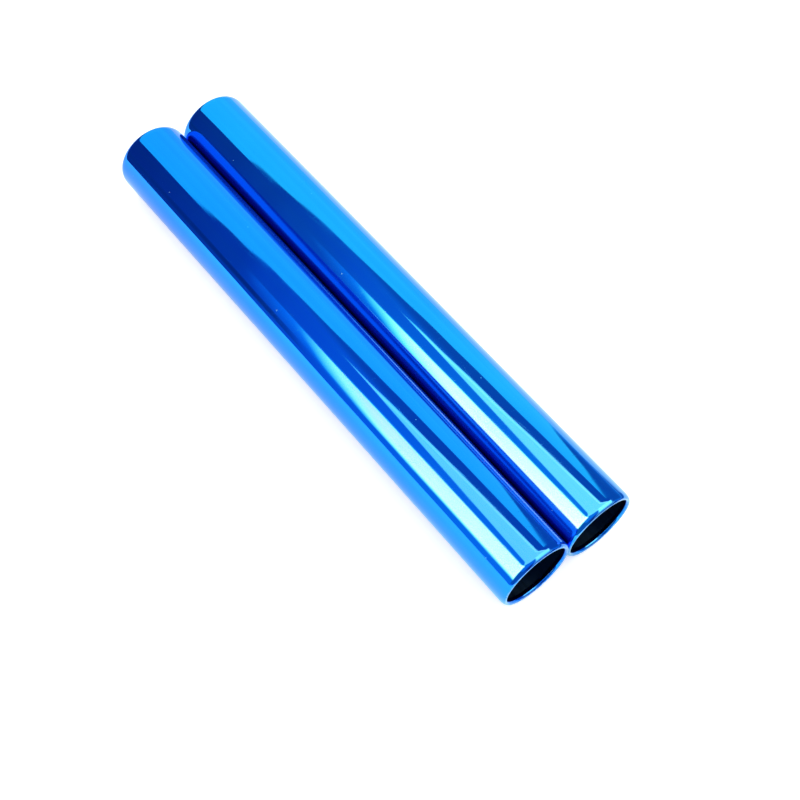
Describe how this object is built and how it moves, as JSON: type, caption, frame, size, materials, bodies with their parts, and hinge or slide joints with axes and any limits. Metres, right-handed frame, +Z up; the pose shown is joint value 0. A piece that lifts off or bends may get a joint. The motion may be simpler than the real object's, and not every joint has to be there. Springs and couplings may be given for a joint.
{
  "type": "relay batons",
  "caption": "Relay batons lying side by side, each a smooth hollow metal tube with rolled-in ends, passed from runner to runner in a relay race.",
  "frame": {"origin": "on the surface that the batons lie on, under the middle of the pair's box", "axes": "+X along the batons, towards the near open ends of the picture; +Y across, from the left baton to the right one as the picture shows them; +Z up"},
  "size_m": [0.301, 0.0764, 0.038],
  "materials": {
    "blue_anodised_aluminium": "drawn tube, mirror polished and dyed bright blue by anodising, roughness about 0.07"
  },
  "bodies": {
    "left_baton": {"left_baton": "blue_anodised_aluminium"},
    "right_baton": {"right_baton": "blue_anodised_aluminium"}
  },
  "joints": [
    {"name": "right_baton_aside", "type": "slide", "parent": "left_baton", "child": "right_baton", "axis": [0, 1, 0], "range_m": [0, 0.1]}
  ]
}
